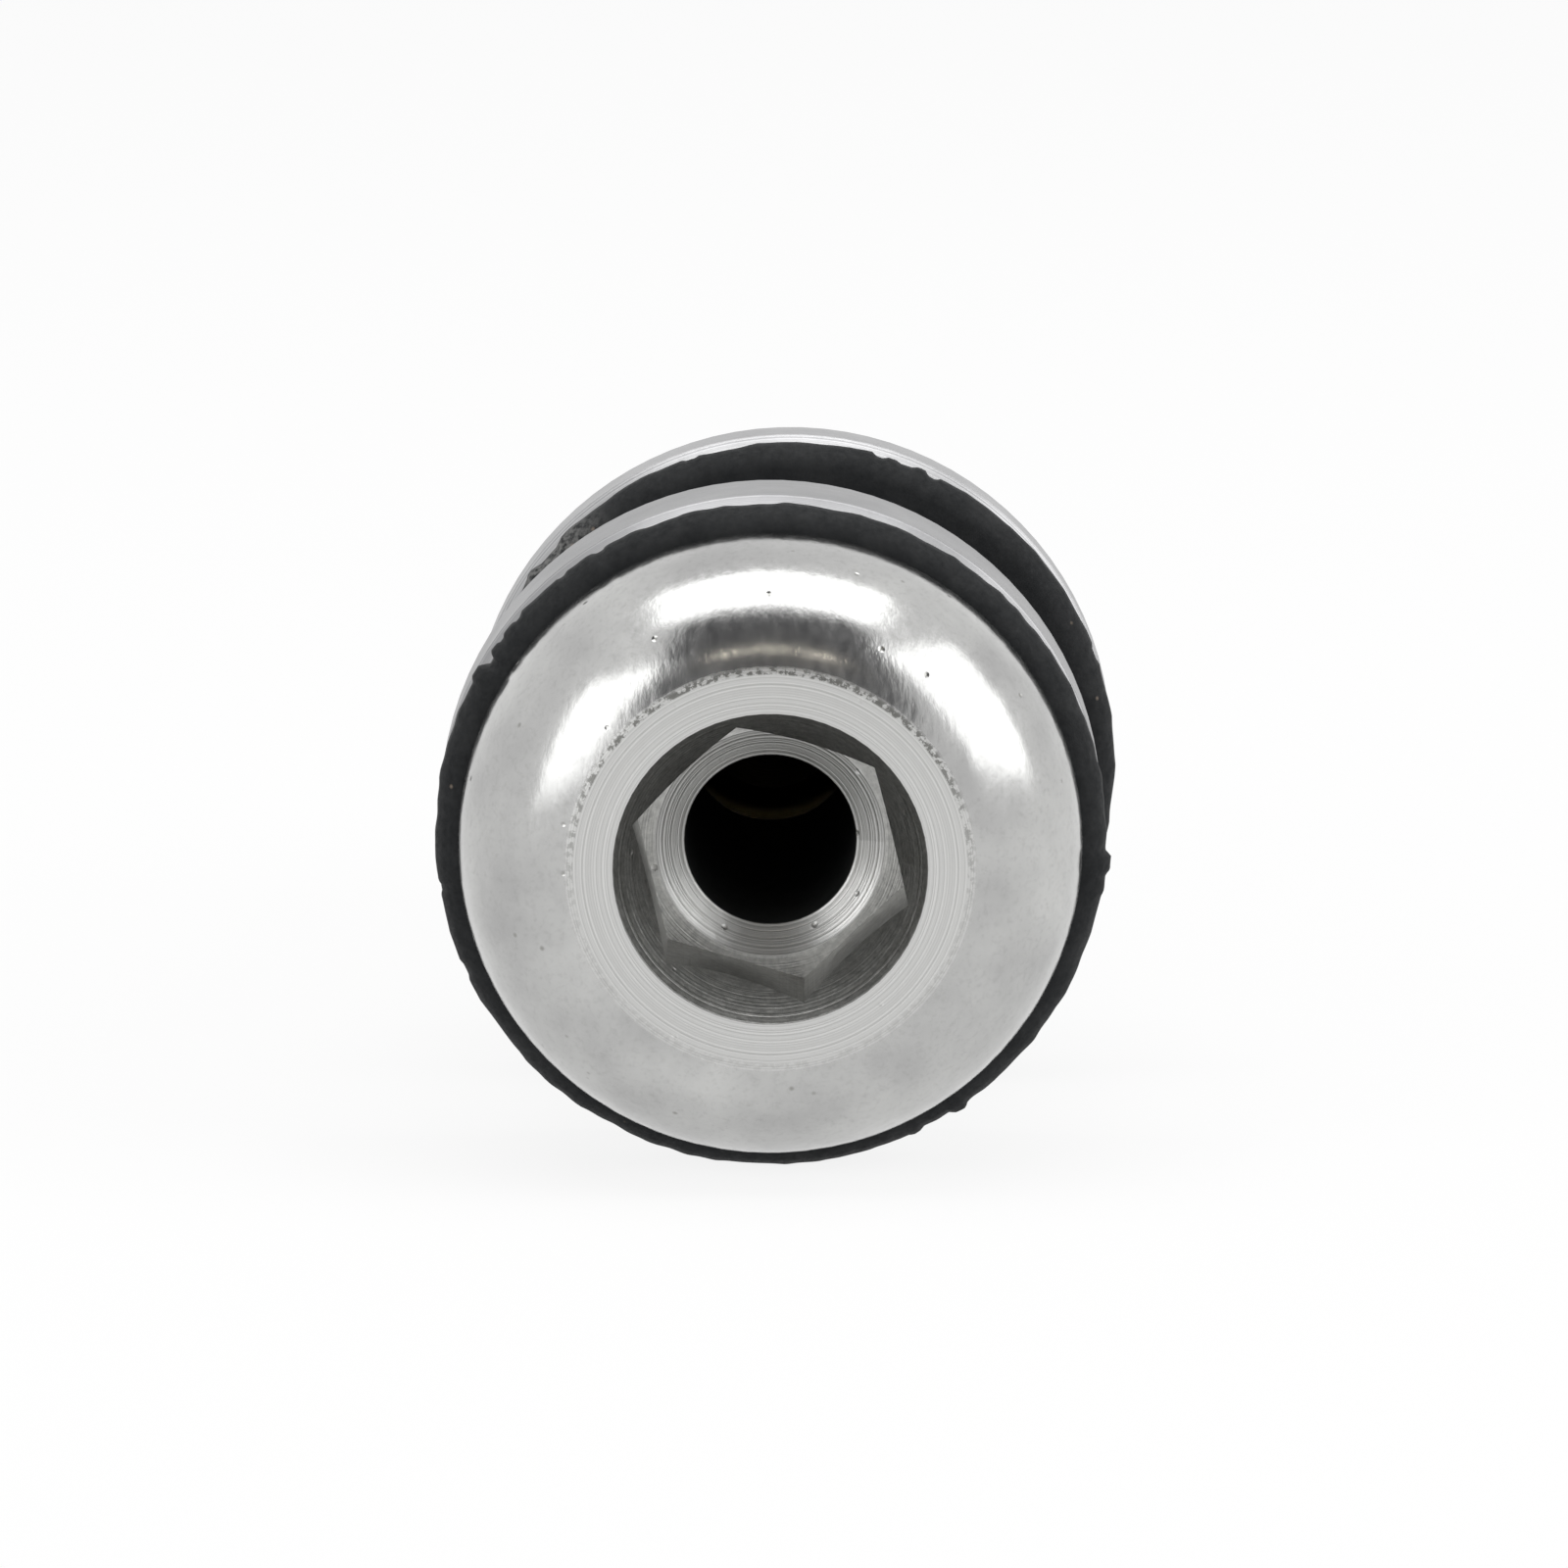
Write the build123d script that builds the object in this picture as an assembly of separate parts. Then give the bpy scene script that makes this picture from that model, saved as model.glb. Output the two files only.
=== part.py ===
from build123d import *
import math
import os

# Clamp-in tyre valve. The axis runs along Y and the head faces -Y.
# The origin is on the axis, where the inner washer meets the wheel rim. Sizes are in millimetres.

# Head of the stem
head_d = 15.2
head_height = 4.0
head_rim = 0.5
head_edge = 0.2
land_width = 1.0

# Key socket in the head
socket_mouth_rise = 0.8
socket_mouth_angle = 60.0
hex_across_flats = 6.0
hex_depth = 3.7
hex_turn = 43.6
funnel_ledge = 0.2
funnel_angle = 118.0
air_bore_d = 4.2

# Rubber seals and metal washers on the shank
seal_proud = 0.62
seal_thickness = 2.0
seal_edge = 0.7
washer_proud = 0.58
washer_edge = 0.25
inner_washer_thickness = 3.0
outer_washer_thickness = 1.8
inner_seal_clearance = 0.05
inner_washer_clearance = 0.1
outer_ring_clearance = 0.6
outer_ring_shift = 0.5

# Shank and the rim that it is made for
rim_gap = 5.4
neck_relief = 0.45
pilot_over_thread = 0.05
pilot_edge = 0.2
thread_d = 9.4
thread_pitch = 1.0
thread_length = 15.6
thread_depth_per_pitch = 0.61

# Rim nut
nut_wall = 1.25
nut_height = 5.0
nut_chamfer_angle = 30.0
nut_countersink = 0.5
thread_clearance = 0.05

# Valve mouth
shoulder_length = 0.5
mouth_wall = 0.67
mouth_thread_pitch = 0.794
mouth_length = 9.1
mouth_edge = 0.4

# Cap
cap_wall = 0.8
cap_top = 0.8
cap_edge = 0.6
cap_seal_thickness = 0.55
cap_seal_clearance = 0.1
cap_skirt_gap = 1.0
cap_flute_count = 12
cap_flute_r = 0.6
cap_flute_depth = 0.25
cap_flute_length = 6.4

# Valve core
core_clearance = 0.05
core_seat_step = 0.35
core_seat_angle = 12.0
plug_d = 5.3
plug_bore_d = 3.4
plug_length = 5.2
plug_blade_height = 2.0
plug_blade_width = 2.6
pin_d = 1.0
pin_hole_clearance = 0.1
pin_travel = 1.6
pin_recess = 0.3
pin_head_d = 1.5
pin_head_height = 0.4
pin_collar_d = 2.0
pin_collar_height = 0.4
pin_rivet_d = 1.7
pin_rivet_height = 0.4
pin_end_room = 1.0
barrel_d = 3.8
barrel_bore_d = 2.3
barrel_spigot = 1.2
barrel_flange_d = 4.4
barrel_flange = 0.75
barrel_body = 6.4
barrel_lip = 0.8
barrel_lip_d = 1.6
gasket_height = 1.4
gasket_bore_d = 2.9
spring_wire_d = 0.28
spring_mean_d = 1.64
spring_length = 5.6
spring_turns = 7
cup_d = 3.5
cup_base = 0.4
cup_wall = 0.3
cup_height = 1.5
cup_seal_gap = 0.03

# Places along the axis, worked out from the sizes above
head_back = -(seal_thickness + inner_washer_thickness)
land = head_back - head_height
dome_edge = head_back - head_rim
outer_washer_front = rim_gap + seal_thickness
nut_front = outer_washer_front + outer_washer_thickness
thread_end = rim_gap + thread_length
mouth_start = thread_end + shoulder_length
mouth_end = mouth_start + mouth_length
cap_start = mouth_start + cap_skirt_gap
cap_inside = mouth_end + core_clearance + cap_seal_thickness
pin_tip = mouth_end - pin_recess
pin_head_under = pin_tip - pin_head_height
plug_end = pin_head_under - pin_travel - pin_hole_clearance
plug_start = plug_end - plug_length
flange_end = plug_start - core_clearance
gasket_end = flange_end - barrel_flange
gasket_start = gasket_end - gasket_height
barrel_start = gasket_start - barrel_body
spring_start = barrel_start + barrel_lip + core_clearance
collar_start = spring_start + spring_length + core_clearance
cup_seal_end = barrel_start - core_clearance
cup_start = cup_seal_end + core_clearance - cup_seal_gap - cup_base - cup_height
pin_start = cup_start - pin_rivet_height
pocket_start = pin_start - pin_travel - pin_end_room

# Radii that several pieces share
head_r = head_d / 2
hex_r = hex_across_flats / 2
socket_mouth_r = hex_r + socket_mouth_rise
land_r = socket_mouth_r + land_width
seal_r = head_r + seal_proud
washer_r = head_r + washer_proud
thread_root_r = thread_d / 2 - thread_depth_per_pitch * thread_pitch
pilot_r = thread_d / 2 + pilot_over_thread
neck_r = pilot_r - neck_relief
air_bore_r = air_bore_d / 2
chamber_r = plug_d / 2 + core_clearance
pocket_r = chamber_r - core_seat_step
mouth_root_r = chamber_r + mouth_wall
pin_r = pin_d / 2
nut_bore_r = thread_d / 2 + thread_clearance
nut_across_flats = 2 * (nut_bore_r + nut_wall)
cap_bore_r = mouth_root_r + thread_depth_per_pitch * mouth_thread_pitch + thread_clearance
cap_r = cap_bore_r + cap_wall
outer_ring_bore_r = pilot_r + outer_ring_clearance


def turned(*outline):
    """A body of revolution about the valve's axis, from (radius, place along the axis) points."""
    return revolve(make_face(Polyline(*outline, close=True).edges()), Axis.Y)


def ring(bore_r, outer_r, start, end):
    """A plain ring about the valve's axis."""
    return turned((bore_r, start), (outer_r, start), (outer_r, end), (bore_r, end))


def hexagon(across_flats, turn, start, length):
    """A six-sided prism about the valve's axis, turned from +X towards +Z as seen from the head."""
    face = Plane(origin=(0, start, 0), x_dir=(1, 0, 0), z_dir=(0, -1, 0))
    sides = RegularPolygon(across_flats / 2, 6, major_radius=False, rotation=turn)
    return extrude(face * sides, amount=-length)


def head_and_shank():
    """The stem's outside: domed head, neck, pilot for the rim hole, threaded shank and mouth."""
    dome = TangentArc((head_r, dome_edge), (land_r, land), tangent=(0, -1))
    rest = Polyline(
        (land_r, land),
        (0, land),
        (0, mouth_end),
        (mouth_root_r - mouth_edge, mouth_end),
        (mouth_root_r, mouth_end - mouth_edge),
        (mouth_root_r, mouth_start),
        (thread_root_r, thread_end),
        (thread_root_r, rim_gap),
        (pilot_r - pilot_edge, rim_gap),
        (pilot_r, rim_gap - pilot_edge),
        (pilot_r, 0),
        (neck_r, 0),
        (neck_r, head_back),
        (head_r - head_edge, head_back),
        (head_r, head_back - head_edge),
        (head_r, dome_edge),
    )
    return revolve(make_face(dome.edges() + rest.edges()), Axis.Y)


def key_socket():
    """The socket's hollow: countersunk mouth, broached hexagon and the funnel into the air bore."""
    countersink_end = land + socket_mouth_rise / math.tan(math.radians(socket_mouth_angle / 2))
    mouth = turned((0, land), (socket_mouth_r, land), (hex_r, countersink_end), (0, countersink_end))
    hex_end = land + hex_depth
    funnel_r = hex_r - funnel_ledge
    funnel_end = hex_end + (funnel_r - air_bore_r) / math.tan(math.radians(funnel_angle / 2))
    funnel = turned((0, hex_end), (funnel_r, hex_end), (air_bore_r, funnel_end), (0, funnel_end))
    return mouth + hexagon(hex_across_flats, hex_turn, land, hex_depth) + funnel


def core_passage():
    """The stem's inner hollow: air bore, core pocket, tapered seat and the core's thread chamber."""
    seat_rise = (chamber_r - pocket_r) / math.tan(math.radians(core_seat_angle))
    return turned(
        (0, land + hex_depth),
        (air_bore_r, land + hex_depth),
        (air_bore_r, pocket_start),
        (pocket_r, pocket_start),
        (pocket_r, gasket_start),
        (chamber_r, gasket_start + seat_rise),
        (chamber_r, mouth_end),
        (0, mouth_end),
    )


def valve_stem():
    return head_and_shank() - key_socket() - core_passage()


def seal(bore_r, start):
    """A moulded rubber ring with rounded outer corners."""
    blank = ring(bore_r, seal_r, start, start + seal_thickness)
    rims = blank.edges().filter_by(GeomType.CIRCLE).sort_by(SortBy.RADIUS)[-2:]
    return fillet(rims, seal_edge)


def washer(bore_r, start, thickness):
    """A turned metal ring with both outer edges broken."""
    blank = ring(bore_r, washer_r, start, start + thickness)
    rims = blank.edges().filter_by(GeomType.CIRCLE).sort_by(SortBy.RADIUS)[-2:]
    return chamfer(rims, washer_edge)


def rim_nut():
    """A hex nut with its corners turned off on both faces."""
    nut_back = nut_front + nut_height
    flat_r = nut_across_flats / 2
    corner_r = flat_r / math.cos(math.radians(30))
    slope = (corner_r - flat_r) * math.tan(math.radians(nut_chamfer_angle))
    turned_corners = turned(
        (0, nut_front),
        (flat_r, nut_front),
        (corner_r, nut_front + slope),
        (corner_r, nut_back - slope),
        (flat_r, nut_back),
        (0, nut_back),
    )
    mouth_r = nut_bore_r + nut_countersink
    bore = turned(
        (0, nut_front),
        (mouth_r, nut_front),
        (nut_bore_r, nut_front + nut_countersink),
        (nut_bore_r, nut_back - nut_countersink),
        (mouth_r, nut_back),
        (0, nut_back),
    )
    return (hexagon(nut_across_flats, 0, nut_front, nut_height) & turned_corners) - bore


def core_plug():
    """The core's threaded plug: a tube with a blade across its top that guides the pin."""
    plug_r = plug_d / 2
    tube_end = plug_end - plug_blade_height
    tube = ring(plug_bore_d / 2, plug_r, plug_start, tube_end)
    top = ring(pin_r + pin_hole_clearance, plug_r, tube_end, plug_end)
    blade = Pos(0, (tube_end + plug_end) / 2, 0) * Box(plug_blade_width, plug_blade_height, plug_d)
    return tube + (top & blade)


def core_barrel():
    """The core's turned barrel: spigot in the plug, flange, gasket groove, body and seat lip."""
    spigot_r = plug_bore_d / 2 - core_clearance
    bore_r = barrel_bore_d / 2
    groove_r = gasket_bore_d / 2
    spigot_end = flange_end + barrel_spigot
    lip_end = barrel_start + barrel_lip
    return turned(
        (barrel_lip_d / 2, barrel_start),
        (barrel_d / 2, barrel_start),
        (barrel_d / 2, gasket_start),
        (groove_r, gasket_start),
        (groove_r, gasket_end),
        (barrel_flange_d / 2, gasket_end),
        (barrel_flange_d / 2, flange_end),
        (spigot_r, flange_end),
        (spigot_r, spigot_end),
        (bore_r, spigot_end),
        (bore_r, lip_end),
        (barrel_lip_d / 2, lip_end),
    )


def core_gasket():
    """The ring in the barrel's groove, tapered like the stem's seat."""
    small_r = pocket_r - core_clearance
    large_r = small_r + gasket_height * math.tan(math.radians(core_seat_angle))
    bore_r = gasket_bore_d / 2
    return turned(
        (bore_r, gasket_start), (small_r, gasket_start), (large_r, gasket_end), (bore_r, gasket_end)
    )


def core_pin():
    """The pin: pressing head, stem, spring collar and the rivet under the cup."""
    collar_end = collar_start + pin_collar_height
    return turned(
        (0, pin_start),
        (pin_rivet_d / 2, pin_start),
        (pin_rivet_d / 2, cup_start),
        (pin_r, cup_start),
        (pin_r, collar_start),
        (pin_collar_d / 2, collar_start),
        (pin_collar_d / 2, collar_end),
        (pin_r, collar_end),
        (pin_r, pin_head_under),
        (pin_head_d / 2, pin_head_under),
        (pin_head_d / 2, pin_tip),
        (0, pin_tip),
    )


def core_spring():
    """A round-wire coil spring between the barrel's lip and the pin's collar."""
    wire_r = spring_wire_d / 2
    rise = spring_length - spring_wire_d
    path = Helix(pitch=rise / spring_turns, height=rise, radius=spring_mean_d / 2)
    section = Plane(origin=path @ 0, z_dir=path % 0) * Circle(wire_r)
    coil = sweep(section, path=path)
    return Pos(0, spring_start + wire_r, 0) * Rot(-90, 0, 0) * coil


def core_cup():
    """The cup on the pin that carries the closing seal."""
    cup_r = cup_d / 2
    cup_end = cup_start + cup_height
    inside_r = cup_r - cup_wall
    bore_r = pin_r + cup_seal_gap
    return turned(
        (bore_r, cup_start),
        (cup_r, cup_start),
        (cup_r, cup_end),
        (inside_r, cup_end),
        (inside_r, cup_start + cup_base),
        (bore_r, cup_start + cup_base),
    )


def core_cup_seal():
    """The rubber ring in the cup, which closes on the barrel's lip."""
    outer_r = cup_d / 2 - cup_wall - cup_seal_gap
    return ring(pin_r + cup_seal_gap, outer_r, cup_start + cup_base + cup_seal_gap, cup_seal_end)


def valve_cap():
    """The screw cap, fluted round its skirt."""
    cap_end = cap_inside + cap_top
    shell = turned(
        (0, cap_inside),
        (0, cap_end),
        (cap_r - cap_edge, cap_end),
        (cap_r, cap_end - cap_edge),
        (cap_r, cap_start),
        (cap_bore_r, cap_start),
        (cap_bore_r, cap_inside),
    )
    flute_r = cap_r + cap_flute_r - cap_flute_depth
    flute = Pos(flute_r, cap_start, 0) * Rot(-90, 0, 0) * Cylinder(
        cap_flute_r, cap_flute_length, align=(Align.CENTER, Align.CENTER, Align.MIN)
    )
    for n in range(cap_flute_count):
        shell -= Rot(0, n * 360 / cap_flute_count, 0) * flute
    return shell


def cap_seal():
    """The rubber disc inside the cap's top."""
    return ring(0, cap_bore_r - cap_seal_clearance, mouth_end + core_clearance, cap_inside)


aside = Pos(outer_ring_shift, 0, 0)
inner_seal_r = neck_r + inner_seal_clearance
inner_washer_r = pilot_r + inner_washer_clearance
pieces = {
    "valve_stem": valve_stem(),
    "inner_seal": seal(inner_seal_r, head_back),
    "inner_washer": washer(inner_washer_r, -inner_washer_thickness, inner_washer_thickness),
    "outer_seal": aside * seal(outer_ring_bore_r, rim_gap),
    "outer_washer": aside * washer(outer_ring_bore_r, outer_washer_front, outer_washer_thickness),
    "rim_nut": rim_nut(),
    "core_plug": core_plug(),
    "core_barrel": core_barrel(),
    "core_gasket": core_gasket(),
    "core_pin": core_pin(),
    "core_spring": core_spring(),
    "core_cup": core_cup(),
    "core_cup_seal": core_cup_seal(),
    "valve_cap": valve_cap(),
    "cap_seal": cap_seal(),
}

os.makedirs("parts", exist_ok=True)
for name, solid in pieces.items():
    export_step(solid, f"parts/{name}.step")
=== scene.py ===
import math
import random

import bmesh
import bpy
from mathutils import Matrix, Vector


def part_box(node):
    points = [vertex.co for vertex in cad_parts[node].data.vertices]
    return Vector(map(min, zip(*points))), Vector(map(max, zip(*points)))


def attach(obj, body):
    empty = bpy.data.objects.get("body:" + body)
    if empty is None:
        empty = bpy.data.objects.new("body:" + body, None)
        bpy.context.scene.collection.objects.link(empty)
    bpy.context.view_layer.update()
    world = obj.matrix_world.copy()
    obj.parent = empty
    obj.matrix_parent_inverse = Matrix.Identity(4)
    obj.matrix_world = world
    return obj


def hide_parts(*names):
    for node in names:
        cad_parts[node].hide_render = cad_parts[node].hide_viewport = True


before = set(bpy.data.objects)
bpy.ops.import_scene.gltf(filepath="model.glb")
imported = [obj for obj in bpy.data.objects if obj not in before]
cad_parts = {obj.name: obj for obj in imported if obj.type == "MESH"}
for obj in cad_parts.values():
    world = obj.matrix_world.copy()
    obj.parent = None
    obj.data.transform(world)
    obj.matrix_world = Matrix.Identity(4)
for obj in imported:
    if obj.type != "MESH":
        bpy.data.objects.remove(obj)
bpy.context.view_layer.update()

MM = 0.001

# Places on the valve, read from the frame. The axis is Y and the head faces -Y.
head_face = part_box("valve_stem")[0][1]
outer_seal_low, outer_seal_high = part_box("outer_seal")
floor_height = min(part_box("outer_washer")[0][2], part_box("inner_washer")[0][2])
ring_shift = (outer_seal_low[0] + outer_seal_high[0]) / 2

# The photograph's view: tilt above the axis, distance to the head's flat face and field there
CAMERA_TILT = math.radians(9.9)
CAMERA_DISTANCE = 279 * MM
FIELD_WIDTH = 37.7 * MM
SENSOR_WIDTH = 36.0
VIEW_RIGHT_OF_AXIS = 0.33 * MM
VIEW_ABOVE_AXIS = 2.06 * MM

# The stem's turned zones: the flat land, the funnel at the socket's floor and the bore behind it
LAND_RADIUS = 4.8 * MM
FUNNEL_RADIUS = 2.8 * MM
FUNNEL_START = head_face + 3.7 * MM
FUNNEL_END = head_face + 4.12 * MM
BORE_END = head_face + 20.0 * MM
BORE_REACH = 2.9 * MM

# Trimmed rims of the rubber rings, and what is cut into them or left on them: place in degrees
# from +X towards +Z, half width in degrees, and height in millimetres, below zero for a notch
INNER_SEAL_BORE = 4.35 * MM
OUTER_SEAL_BORE = 5.35 * MM
RIM_STEPS = 720
RIM_CUTS = 44
RIM_WAVE = 0.005 * MM
INNER_RIM_FEATURES = [(147.7, 1.4, -0.14), (150.5, 2.0, 0.10), (143.5, 1.0, -0.05), (138.9, 1.2, -0.05),
                      (128.3, 1.0, -0.05), (120.7, 1.3, -0.04), (-4.6, 2.2, 0.16), (-8.0, 2.6, 0.06),
                      (-55.7, 1.8, 0.08), (-64.0, 1.4, 0.05), (189, 1.2, -0.05), (204, 2.0, -0.04)]
OUTER_RIM_FEATURES = [(108, 1.6, -0.06), (64, 1.5, -0.08), (69, 2.0, -0.05), (74, 1.4, -0.07),
                      (139, 4.0, -0.10), (150, 6.0, -0.12), (20, 2.0, -0.05), (-40, 2.5, 0.05)]

# Middle of the grey stretch on the outer ring, a painted highlight, from +X towards +Z
SHEEN_ANGLE = math.radians(139)

# Screw threads on the stem, in millimetres
RIM_THREAD = {"start": 6.0, "length": 14.7, "pitch": 1.0, "crest_radius": 4.7, "ridge": 0.47}
MOUTH_THREAD = {"start": 22.1, "length": 8.1, "pitch": 0.794, "crest_radius": 3.85, "ridge": 0.37}
THREAD_STEPS_PER_TURN = 72
SHARP_EDGE = math.radians(40)

# Studio: how much of the table's look is its own white, and the dark card and lamps in front, in metres
TABLE_GLOW_SHARE = 0.85
CARD_ELEVATION = math.radians(40)
CARD_DISTANCE = 0.36
CARD_SIZE = (0.35, 0.34)
CARD_TO_RIGHT = 0.012
LAMP_PLACES = ((-0.045, 0.185), (0.005, 0.19), (0.055, 0.18))
LAMP_IN_FRONT = 0.27
LAMP_SIZE = (0.010, 0.010)
LAMP_RADIANCE = 16.0
WARM_WHITE = (1.0, 0.92, 0.78)


# Small helpers for node trees

def add(tree, kind, inputs=None, **settings):
    """A node with its settings, and its inputs linked or set by name or number."""
    node = tree.nodes.new(kind)
    for name, value in settings.items():
        setattr(node, name, value)
    for name, value in (inputs or {}).items():
        if isinstance(value, bpy.types.NodeSocket):
            tree.links.new(value, node.inputs[name])
        else:
            node.inputs[name].default_value = value
    return node


def calc(tree, operation, a, b=0.0, clamp=False):
    """The result of a sum of one or two values."""
    return add(tree, "ShaderNodeMath", {0: a, 1: b}, operation=operation, use_clamp=clamp).outputs[0]


def fade(tree, value, start, end, low=0.0, high=1.0):
    """low before start, high after end, and a straight run between them."""
    inputs = {"Value": value, "From Min": start, "From Max": end, "To Min": low, "To Max": high}
    return add(tree, "ShaderNodeMapRange", inputs, clamp=True).outputs[0]


def noise(tree, vector, size, detail=3.0, roughness=0.55):
    """Noise with features of about that size, in metres."""
    inputs = {"Vector": vector, "Scale": 1 / size, "Detail": detail, "Roughness": roughness}
    return add(tree, "ShaderNodeTexNoise", inputs).outputs["Fac"]


def lathe_marks(tree, place, spacing, detail):
    """Noise along one direction only, as a lathe leaves it, with marks of about that spacing."""
    inputs = {"W": calc(tree, "MULTIPLY", place, 1 / spacing), "Scale": 1.0, "Detail": detail}
    return add(tree, "ShaderNodeTexNoise", inputs, noise_dimensions="1D").outputs["Fac"]


def specks(tree, position, spacing, channel, rarity, core, edge):
    """1 at the middle of a few scattered cells of that spacing, falling to 0 between core and edge."""
    inputs = {"Vector": position, "Scale": 1 / spacing, "Randomness": 1.0}
    cells = add(tree, "ShaderNodeTexVoronoi", inputs)
    draw = add(tree, "ShaderNodeSeparateColor", {0: cells.outputs["Color"]}).outputs[channel]
    chosen = calc(tree, "GREATER_THAN", draw, rarity)
    return calc(tree, "MULTIPLY", chosen, fade(tree, cells.outputs["Distance"], core, edge, 1.0, 0.0))


def blend(tree, factor, a, b):
    """Colour a where factor is 0 and b where it is 1."""
    node = add(tree, "ShaderNodeMix", {0: factor}, data_type="RGBA")
    for socket, value in ((node.inputs[6], a), (node.inputs[7], b)):
        if isinstance(value, bpy.types.NodeSocket):
            tree.links.new(value, socket)
        else:
            socket.default_value = (*value, 1.0)
    return node.outputs[2]


def bump(tree, height, depth, normal=None):
    """A bump of that depth, in metres."""
    inputs = {"Height": height, "Distance": depth, "Strength": 1.0}
    if normal is not None:
        inputs["Normal"] = normal
    return add(tree, "ShaderNodeBump", inputs).outputs[0]


def new_material(name):
    """An empty material with its tree and its Principled shader."""
    material = bpy.data.materials.new(name)
    material.use_nodes = True
    tree = material.node_tree
    tree.nodes.clear()
    shader = add(tree, "ShaderNodeBsdfPrincipled")
    output = add(tree, "ShaderNodeOutputMaterial")
    tree.links.new(shader.outputs[0], output.inputs[0])
    return material, tree, shader


def valve_coordinates(tree, centre_x=0.0):
    """Object position, distance from the axis, place along it and angle round it."""
    position = add(tree, "ShaderNodeTexCoord").outputs["Object"]
    if centre_x:
        moved = add(tree, "ShaderNodeVectorMath", {0: position, 1: (centre_x, 0, 0)}, operation="SUBTRACT")
        position = moved.outputs[0]
    parts = add(tree, "ShaderNodeSeparateXYZ", {0: position})
    x, y, z = parts.outputs
    radius = calc(tree, "SQRT", calc(tree, "ADD", calc(tree, "MULTIPLY", x, x), calc(tree, "MULTIPLY", z, z)))
    angle = calc(tree, "ARCTAN2", z, x)
    return position, radius, y, angle


# Finishes

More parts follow.
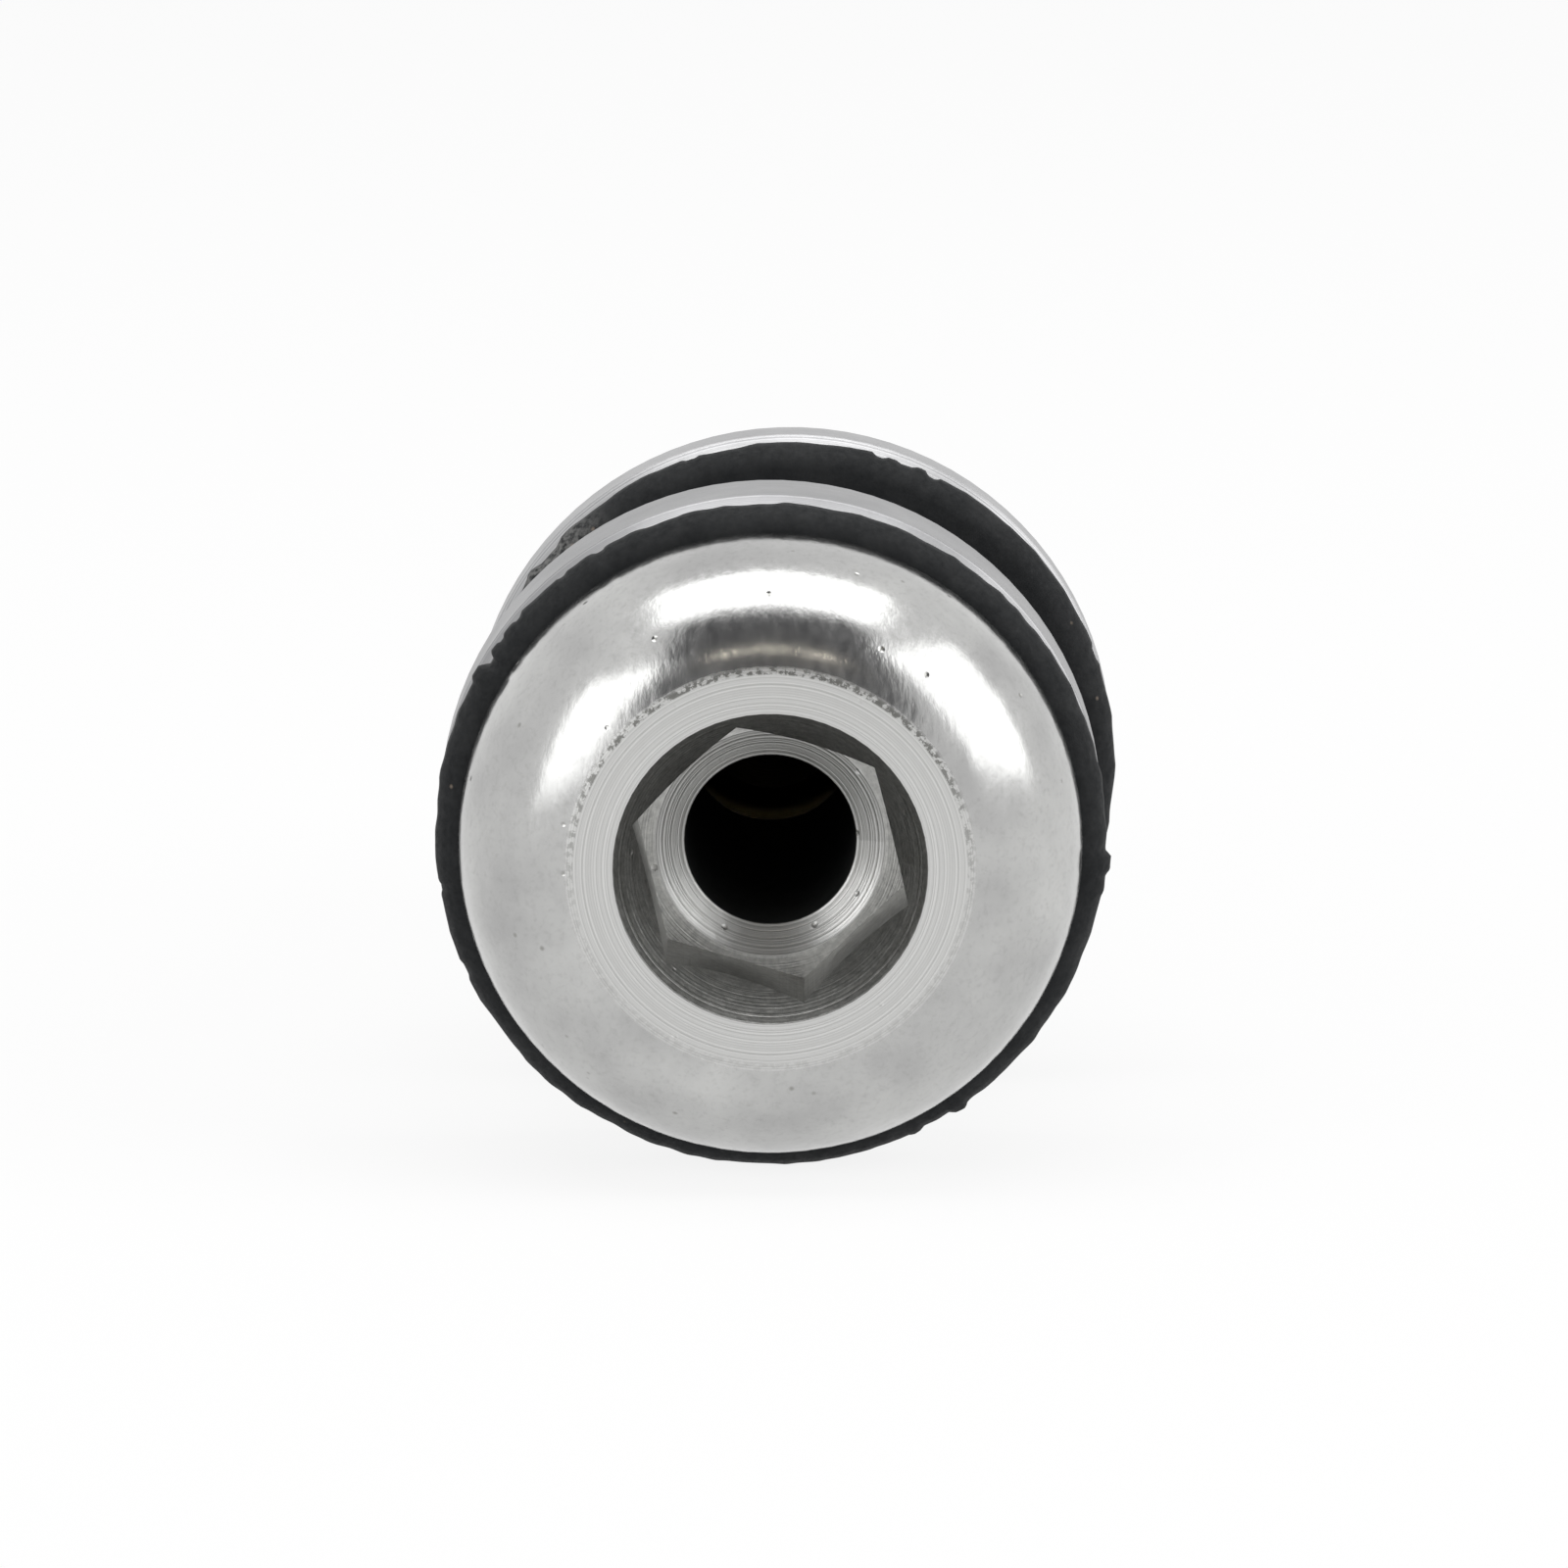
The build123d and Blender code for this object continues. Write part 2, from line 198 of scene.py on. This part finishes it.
def plated_stem():
    """Bright plate on the stem: grainy dome with pits, turned land, dull socket greyed with painted shade,
    and a bore painted near-black as shade.
    """
    material, tree, shader = new_material("plated_stem")
    position, radius, along, angle = valve_coordinates(tree)
    on_land = fade(tree, along, head_face + 0.02 * MM, head_face + 0.05 * MM, 1.0, 0.0)
    within_land = fade(tree, radius, LAND_RADIUS - 0.03 * MM, LAND_RADIUS, 1.0, 0.0)
    below_land = calc(tree, "SUBTRACT", 1.0, on_land)
    in_head = fade(tree, along, FUNNEL_END, FUNNEL_END + 0.05 * MM, 1.0, 0.0)
    in_socket = calc(tree, "MULTIPLY", calc(tree, "MULTIPLY", within_land, below_land), in_head)
    in_funnel = calc(tree, "MULTIPLY", fade(tree, along, FUNNEL_START - 0.03 * MM, FUNNEL_START),
                     fade(tree, radius, FUNNEL_RADIUS, FUNNEL_RADIUS + 0.03 * MM, 1.0, 0.0))
    in_funnel = calc(tree, "MULTIPLY", in_funnel, in_head)
    in_bore = calc(tree, "MULTIPLY", fade(tree, along, FUNNEL_END, FUNNEL_END + 0.1 * MM),
                   fade(tree, along, BORE_END, BORE_END + 0.1 * MM, 1.0, 0.0))
    near_axis = fade(tree, radius, BORE_REACH, BORE_REACH + 0.1 * MM, 1.0, 0.0)
    in_bore = calc(tree, "MULTIPLY", in_bore, near_axis)
    cloud = noise(tree, position, 3.0 * MM, 4.0)
    grain = noise(tree, position, 0.16 * MM, 4.0, 0.7)
    streak_place = add(tree, "ShaderNodeMapping", {"Vector": position, "Scale": (1.0, 1.0, 0.25)}).outputs[0]
    streak = noise(tree, streak_place, 0.25 * MM, 3.0, 0.6)
    pit = specks(tree, position, 0.55 * MM, 0, 0.8, 0.05, 0.16)
    turning = lathe_marks(tree, radius, 0.05 * MM, 2.0)
    dome_colour = blend(tree, fade(tree, cloud, 0.35, 0.7), (0.42, 0.42, 0.415), (0.56, 0.56, 0.55))
    dome_colour = blend(tree, fade(tree, grain, 0.5, 0.8, 0.0, 0.35), dome_colour, (0.28, 0.28, 0.27))
    dome_colour = blend(tree, calc(tree, "MULTIPLY", pit, 0.6), dome_colour, (0.18, 0.18, 0.16))
    land_colour = blend(tree, fade(tree, turning, 0.35, 0.65), (0.50, 0.50, 0.49), (0.66, 0.66, 0.65))
    # Dark broken line round the land's edge: painted shade of the crease where the dome meets it, heavier on
    # the top side
    land_edge_crease_shade = calc(tree, "MULTIPLY", fade(tree, radius, LAND_RADIUS - 0.06 * MM, LAND_RADIUS - 0.03 * MM),
                fade(tree, grain, 0.46, 0.54))
    land_edge_crease_shade = calc(tree, "MULTIPLY", land_edge_crease_shade, fade(tree, calc(tree, "SINE", angle), -0.2, 0.6, 0.15, 0.8))
    land_colour = blend(tree, land_edge_crease_shade, land_colour, (0.10, 0.10, 0.09))
    # The socket's darker grey is painted shade of the recess
    socket_shaded_colour = blend(tree, fade(tree, grain, 0.35, 0.7), (0.34, 0.34, 0.33), (0.52, 0.52, 0.50))
    funnel_colour = blend(tree, fade(tree, turning, 0.35, 0.65), (0.40, 0.40, 0.39), (0.60, 0.60, 0.59))
    colour = blend(tree, on_land, dome_colour, land_colour)
    colour = blend(tree, in_socket, colour, socket_shaded_colour)
    colour = blend(tree, in_funnel, colour, funnel_colour)
    # Near-black in the bore: painted shade of the deep hole
    colour = blend(tree, in_bore, colour, (0.012, 0.013, 0.013))
    tree.links.new(colour, shader.inputs["Base Color"])
    rough = fade(tree, streak, 0.3, 0.75, 0.15, 0.25)
    rough = calc(tree, "ADD", rough, calc(tree, "MULTIPLY", on_land, 0.26))
    rough = calc(tree, "ADD", rough, calc(tree, "MULTIPLY", in_socket, 0.14))
    rough = calc(tree, "ADD", rough, calc(tree, "MULTIPLY", in_bore, 0.6), clamp=True)
    tree.links.new(rough, shader.inputs["Roughness"])
    tree.links.new(calc(tree, "SUBTRACT", 1.0, in_bore), shader.inputs["Metallic"])
    peel = bump(tree, streak, 0.006 * MM)
    peel = bump(tree, calc(tree, "MULTIPLY", pit, -1.0), 0.015 * MM, peel)
    marks = bump(tree, calc(tree, "MULTIPLY", turning, within_land), 0.010 * MM, peel)
    tree.links.new(marks, shader.inputs["Normal"])
    return material


def turned_metal(name, dark, light, roughness, centre_x=0.0, mark=0.06 * MM):
    """Satin metal with turning marks round the axis and along it, and a little soiling."""
    material, tree, shader = new_material(name)
    position, radius, along, _ = valve_coordinates(tree, centre_x)
    marks = lathe_marks(tree, calc(tree, "ADD", radius, along), mark, 3.0)
    cloud = noise(tree, position, 2.5 * MM, 4.0)
    soil = noise(tree, position, 0.5 * MM, 5.0, 0.7)
    colour = blend(tree, fade(tree, marks, 0.3, 0.7), dark, light)
    colour = blend(tree, fade(tree, soil, 0.6, 0.8, 0.0, 0.35), colour, tuple(c * 0.6 for c in dark))
    tree.links.new(colour, shader.inputs["Base Color"])
    tree.links.new(fade(tree, cloud, 0.3, 0.7, roughness * 0.8, roughness * 1.2), shader.inputs["Roughness"])
    shader.inputs["Metallic"].default_value = 1.0
    tree.links.new(bump(tree, marks, 0.006 * MM), shader.inputs["Normal"])
    return material


def seal_rubber():
    """Flat black rubber with moulding grain, scuffs, dust specks and a grey stretch on the outer ring that is
    a painted highlight.
    """
    material, tree, shader = new_material("seal_rubber")
    position, _, along, angle = valve_coordinates(tree)
    grain = noise(tree, position, 0.18 * MM, 5.0, 0.65)
    scuff = noise(tree, position, 1.2 * MM, 4.0, 0.6)
    dust = specks(tree, position, 0.8 * MM, 1, 0.86, 0.03, 0.09)
    colour = blend(tree, fade(tree, scuff, 0.45, 0.75), (0.007, 0.008, 0.009), (0.018, 0.019, 0.020))
    # Grey stretch on the outer ring: painted highlight where its rim catches the light
    off_sheen = calc(tree, "ABSOLUTE", calc(tree, "SUBTRACT", angle, SHEEN_ANGLE))
    painted_sheen = calc(tree, "MULTIPLY", fade(tree, off_sheen, 0.12, 0.30, 1.0, 0.0), fade(tree, grain, 0.40, 0.60))
    painted_sheen = calc(tree, "MULTIPLY", painted_sheen, fade(tree, along, outer_seal_low[1] - 0.2 * MM, outer_seal_low[1]))
    colour = blend(tree, calc(tree, "MULTIPLY", painted_sheen, 0.8), colour, (0.22, 0.22, 0.215))
    colour = blend(tree, calc(tree, "MULTIPLY", dust, 0.6), colour, (0.30, 0.24, 0.19))
    tree.links.new(colour, shader.inputs["Base Color"])
    tree.links.new(fade(tree, grain, 0.3, 0.7, 0.55, 0.8), shader.inputs["Roughness"])
    shader.inputs["Specular IOR Level"].default_value = 0.25
    tree.links.new(bump(tree, grain, 0.02 * MM), shader.inputs["Normal"])
    return material


def gasket_plastic():
    """Pale plain plastic with a faint mottling."""
    material, tree, shader = new_material("gasket_plastic")
    position = valve_coordinates(tree)[0]
    cloud = noise(tree, position, 0.6 * MM, 4.0)
    colour = blend(tree, cloud, (0.74, 0.72, 0.66), (0.86, 0.85, 0.80))
    tree.links.new(colour, shader.inputs["Base Color"])
    tree.links.new(fade(tree, cloud, 0.3, 0.7, 0.45, 0.6), shader.inputs["Roughness"])
    return material


# Ragged rubber rings

def trimmed_rim(outer, seed, features):
    """The radius of a hand-trimmed rim at each step round it: straight cuts, waviness, notches and tabs."""
    rng = random.Random(seed)
    cuts = sorted(2 * math.pi * (number + rng.uniform(-0.35, 0.35)) / RIM_CUTS for number in range(RIM_CUTS))
    waves = [(rng.randint(20, 90), rng.uniform(0, 2 * math.pi), rng.uniform(0.3, 1.0)) for _ in range(9)]
    radii = []
    for number in range(RIM_STEPS):
        angle = 2 * math.pi * number / RIM_STEPS
        after = next((c for c in cuts if c > angle), cuts[0] + 2 * math.pi)
        before = max((c for c in cuts if c <= angle), default=cuts[-1] - 2 * math.pi)
        half = (after - before) / 2
        radius = outer * math.cos(half) / math.cos(angle - before - half)
        radius += RIM_WAVE * sum(size * math.sin(rate * angle + phase) for rate, phase, size in waves)
        for place, half_width, height in features:
            away = abs((math.degrees(angle) - place + 180) % 360 - 180) / half_width
            radius += height * MM * max(0.0, min(1.0, 2 * (1 - away)))
        radii.append(radius)
    return radii


def ragged_seal(name, body, node, bore_radius, seed, features):
    """A moulded rubber ring with a thin trimmed rim; its sides fall away behind the rim."""
    low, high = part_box(node)
    centre_x = (low[0] + high[0]) / 2
    outer = (high[0] - low[0]) / 2
    front, back = low[1], high[1]
    radii = trimmed_rim(outer, seed, features)
    # Along the ring's thickness: how far along, how far inside the rim, and how much of the trimming it takes
    profile = [(0.0, 0.60, 0.2), (0.04, 0.38, 0.5), (0.12, 0.18, 0.8), (0.24, 0.04, 1.0), (0.34, 0.0, 1.0),
               (0.42, 0.04, 1.0), (0.56, 0.10, 0.7), (0.76, 0.20, 0.5), (0.92, 0.36, 0.3), (1.0, 0.60, 0.2)]
    mesh = bmesh.new()
    rows = []
    for number, rim in enumerate(radii):
        angle = 2 * math.pi * number / RIM_STEPS
        section = [(outer - inset * MM + (rim - outer) * share, front + along * (back - front))
                   for along, inset, share in profile]
        section += [(bore_radius, back), (bore_radius, front)]
        across, up = math.cos(angle), math.sin(angle)
        rows.append([mesh.verts.new((centre_x + r * across, y, r * up)) for r, y in section])
    for row, after in zip(rows, rows[1:] + rows[:1]):
        for k in range(len(row)):
            mesh.faces.new((row[k - 1], row[k], after[k], after[k - 1]))
    bmesh.ops.recalc_face_normals(mesh, faces=mesh.faces)
    data = bpy.data.meshes.new(name)
    mesh.to_mesh(data)
    mesh.free()
    data.shade_smooth()
    piece = bpy.data.objects.new(name, data)
    bpy.context.collection.objects.link(piece)
    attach(piece, body)
    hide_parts(node)
    return piece


# Thread ridges

def thread_tree():
    """Geometry nodes for one screw thread: a helix along Y, swept with a three-sided ridge that runs out."""
    tree = bpy.data.node_groups.new("screw_thread", "GeometryNodeTree")
    for name in ("Start", "Length", "Pitch", "Crest Radius", "Ridge"):
        tree.interface.new_socket(name, in_out="INPUT", socket_type="NodeSocketFloat")
    tree.interface.new_socket("Finish", in_out="INPUT", socket_type="NodeSocketMaterial")
    tree.interface.new_socket("Geometry", in_out="OUTPUT", socket_type="NodeSocketGeometry")
    given = add(tree, "NodeGroupInput").outputs
    middle = calc(tree, "SUBTRACT", given["Crest Radius"], given["Ridge"])
    turns = calc(tree, "DIVIDE", given["Length"], given["Pitch"])
    helix = add(tree, "GeometryNodeCurveSpiral", {"Resolution": THREAD_STEPS_PER_TURN, "Rotations": turns,
                                                  "Start Radius": middle, "End Radius": middle,
                                                  "Height": given["Length"]})
    upright = add(tree, "GeometryNodeSetCurveNormal", {"Curve": helix.outputs[0]}, mode="Z_UP")
    along = add(tree, "GeometryNodeSplineParameter").outputs["Factor"]
    to_end = calc(tree, "MINIMUM", along, calc(tree, "SUBTRACT", 1.0, along))
    fullness = calc(tree, "MULTIPLY", calc(tree, "MULTIPLY", to_end, turns), 2.0, clamp=True)
    ridge = add(tree, "GeometryNodeCurvePrimitiveCircle", {"Resolution": 3, "Radius": given["Ridge"]})
    outward = add(tree, "GeometryNodeTransform", {"Geometry": ridge.outputs[0], "Rotation": (0, 0, math.pi)})
    swept = add(tree, "GeometryNodeCurveToMesh", {"Curve": upright.outputs[0],
                                                  "Profile Curve": outward.outputs[0],
                                                  "Scale": fullness, "Fill Caps": True})
    place = add(tree, "ShaderNodeCombineXYZ", {1: given["Start"]})
    lying = add(tree, "GeometryNodeTransform", {"Geometry": swept.outputs[0], "Translation": place.outputs[0],
                                                "Rotation": (-math.pi / 2, 0, 0)})
    real = add(tree, "GeometryNodeRealizeInstances", {0: lying.outputs[0]})
    painted = add(tree, "GeometryNodeSetMaterial", {"Geometry": real.outputs[0], "Material": given["Finish"]})
    output = add(tree, "NodeGroupOutput")
    tree.links.new(painted.outputs[0], output.inputs[0])
    return tree


def thread_piece(name, tree, body, slot, **sizes):
    """One thread as a plain mesh that rides on its body."""
    holder = bpy.data.objects.new(name + "_nodes", bpy.data.meshes.new(name + "_nodes"))
    bpy.context.collection.objects.link(holder)
    modifier = holder.modifiers.new("screw_thread", "NODES")
    modifier.node_group = tree
    names = {item.name: item.identifier for item in tree.interface.items_tree if item.in_out == "INPUT"}
    for label, value in sizes.items():
        modifier[names[label.replace("_", " ").title()]] = value
    evaluated = holder.evaluated_get(bpy.context.evaluated_depsgraph_get())
    data = bpy.data.meshes.new_from_object(evaluated)
    data.name = name
    data.set_sharp_from_angle(angle=SHARP_EDGE)
    bpy.data.objects.remove(holder)
    piece = bpy.data.objects.new(name, data)
    bpy.context.collection.objects.link(piece)
    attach(piece, body)
    return piece


# Camera, floor and light

def place_camera():
    """The camera at the photograph's place."""
    forward = Vector((0, math.cos(CAMERA_TILT), -math.sin(CAMERA_TILT)))
    up = Vector((0, math.sin(CAMERA_TILT), math.cos(CAMERA_TILT)))
    target = Vector((VIEW_RIGHT_OF_AXIS, head_face, 0)) + VIEW_ABOVE_AXIS * up
    data = bpy.data.cameras.new("photo_camera")
    data.sensor_width = SENSOR_WIDTH
    data.lens = SENSOR_WIDTH * CAMERA_DISTANCE / FIELD_WIDTH
    data.clip_start = 0.01
    camera = bpy.data.objects.new("photo_camera", data)
    camera.location = target - CAMERA_DISTANCE * forward
    camera.rotation_euler = forward.to_track_quat("-Z", "Y").to_euler()
    bpy.context.collection.objects.link(camera)
    bpy.context.scene.camera = camera


def seen_directly(tree):
    """1 for rays from the camera and for reflected or transmitted ones, 0 for the rest."""
    path = add(tree, "ShaderNodeLightPath").outputs
    seen = calc(tree, "MAXIMUM", path["Is Camera Ray"], path["Is Glossy Ray"])
    return calc(tree, "MAXIMUM", seen, path["Is Transmission Ray"])


def floor_sheet():
    """White table that looks white and still takes the valve's shadow."""
    material = bpy.data.materials.new("white_table")
    material.use_nodes = True
    tree = material.node_tree
    tree.nodes.clear()
    matt = add(tree, "ShaderNodeBsdfDiffuse", {"Color": (0.86, 0.86, 0.86, 1)})
    glow = add(tree, "ShaderNodeEmission", {"Color": (1, 1, 1, 1), "Strength": 1.02})
    share = calc(tree, "MULTIPLY", seen_directly(tree), TABLE_GLOW_SHARE)
    mixed = add(tree, "ShaderNodeMixShader", {0: share, 1: matt.outputs[0], 2: glow.outputs[0]})
    output = add(tree, "ShaderNodeOutputMaterial")
    tree.links.new(mixed.outputs[0], output.inputs[0])
    return plane("white_table", (0, 0, floor_height), (6, 6), (0, 0, 1), material)


def plane(name, centre, size, facing, material):
    """A flat rectangle that faces the given way."""
    mesh = bmesh.new()
    bmesh.ops.create_grid(mesh, x_segments=1, y_segments=1, size=0.5)
    turn = Vector(facing).to_track_quat("Z", "Y").to_matrix().to_4x4()
    for vertex in mesh.verts:
        vertex.co = Vector(centre) + turn @ Vector((vertex.co.x * size[0], vertex.co.y * size[1], 0))
    data = bpy.data.meshes.new(name)
    mesh.to_mesh(data)
    mesh.free()
    data.materials.append(material)
    sheet = bpy.data.objects.new(name, data)
    bpy.context.collection.objects.link(sheet)
    return sheet


def softbox(name, centre, size, radiance, colour=(1, 1, 1)):
    """A rectangular lamp of that even radiance, aimed at the head."""
    data = bpy.data.lights.new(name, "AREA")
    data.shape = "RECTANGLE"
    data.size, data.size_y = size
    data.energy = radiance * math.pi * size[0] * size[1]
    data.color = colour
    lamp = bpy.data.objects.new(name, data)
    lamp.location = centre
    aim = Vector((0, head_face, 0)) - Vector(centre)
    lamp.rotation_euler = aim.to_track_quat("-Z", "Y").to_euler()
    bpy.context.collection.objects.link(lamp)
    return lamp


def dark_card():
    """Dark card over the camera: the unlit room that the polished dome mirrors."""
    material, _, shader = new_material("dark_card")
    shader.inputs["Base Color"].default_value = (0.13, 0.13, 0.135, 1)
    shader.inputs["Roughness"].default_value = 0.9
    in_front, up = math.cos(CARD_ELEVATION), math.sin(CARD_ELEVATION)
    centre = (CARD_TO_RIGHT, head_face - CARD_DISTANCE * in_front, CARD_DISTANCE * up)
    return plane("dark_card", centre, CARD_SIZE, (0, in_front, -up), material)


def white_surround():
    """White surroundings, at half strength as a light."""
    world = bpy.data.worlds.new("white_surround")
    bpy.context.scene.world = world
    world.use_nodes = True
    tree = world.node_tree
    tree.nodes.clear()
    strength = fade(tree, seen_directly(tree), 0.0, 1.0, 0.5, 1.0)
    glow = add(tree, "ShaderNodeBackground", {"Color": (1, 1, 1, 1), "Strength": strength})
    output = add(tree, "ShaderNodeOutputWorld")
    tree.links.new(glow.outputs[0], output.inputs[0])


place_camera()
floor_sheet()
dark_card()
white_surround()
softbox("top_softbox", (0, -0.02, 0.36), (0.40, 0.22), 2.2)
softbox("left_softbox", (-0.30, -0.30, 0.16), (0.26, 0.26), 1.6)
softbox("right_softbox", (0.40, -0.16, 0.24), (0.44, 0.34), 1.7)
for number, (across, up) in enumerate(LAMP_PLACES):
    lamp_centre = (across, head_face - LAMP_IN_FRONT, up)
    softbox(f"room_lamp_{number}", lamp_centre, LAMP_SIZE, LAMP_RADIANCE, WARM_WHITE)

rubber = seal_rubber()
inner = ragged_seal("inner_seal_ring", "stem", "inner_seal", INNER_SEAL_BORE, 5, INNER_RIM_FEATURES)
outer = ragged_seal("outer_seal_ring", "clamp", "outer_seal", OUTER_SEAL_BORE, 11, OUTER_RIM_FEATURES)
for ring in (inner, outer):
    ring.data.materials.append(rubber)

washer_metal = turned_metal("washer_metal", (0.24, 0.24, 0.245), (0.36, 0.36, 0.365), 0.38)
core_brass = turned_metal("core_brass", (0.56, 0.40, 0.16), (0.78, 0.60, 0.28), 0.25, mark=0.03 * MM)
# Core cup and pin are painted almost black as shade of the deep bore they sit in
dark_brass = turned_metal("bore_shade_brass", (0.014, 0.012, 0.009), (0.03, 0.025, 0.017), 0.7, mark=0.03 * MM)
plate = turned_metal("satin_plate", (0.42, 0.42, 0.41), (0.56, 0.56, 0.55), 0.24)
spring_wire = turned_metal("spring_wire", (0.42, 0.42, 0.42), (0.60, 0.60, 0.60), 0.3, mark=0.02 * MM)
threads = thread_tree()
for thread_name, thread_sizes in (("rim_thread", RIM_THREAD), ("mouth_thread", MOUTH_THREAD)):
    metres = {label: size * MM for label, size in thread_sizes.items()}
    thread_piece(thread_name, threads, "stem", "plated_stem", finish=plate, **metres)
finishes = {
    "valve_stem": plated_stem(),
    "inner_washer": washer_metal,
    "outer_washer": turned_metal("outer_washer_metal", (0.30, 0.30, 0.305), (0.44, 0.44, 0.445), 0.38,
                                 ring_shift),
    "rim_nut": plate,
    "valve_cap": plate,
    "core_plug": core_brass,
    "core_barrel": core_brass,
    "core_pin": dark_brass,
    "core_cup": dark_brass,
    "core_cup_seal": rubber,
    "cap_seal": rubber,
    "core_gasket": gasket_plastic(),
    "core_spring": spring_wire,
}
for node_name, finish in finishes.items():
    for material_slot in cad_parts[node_name].material_slots:
        material_slot.material = finish

bpy.context.scene.view_settings.view_transform = "Standard"
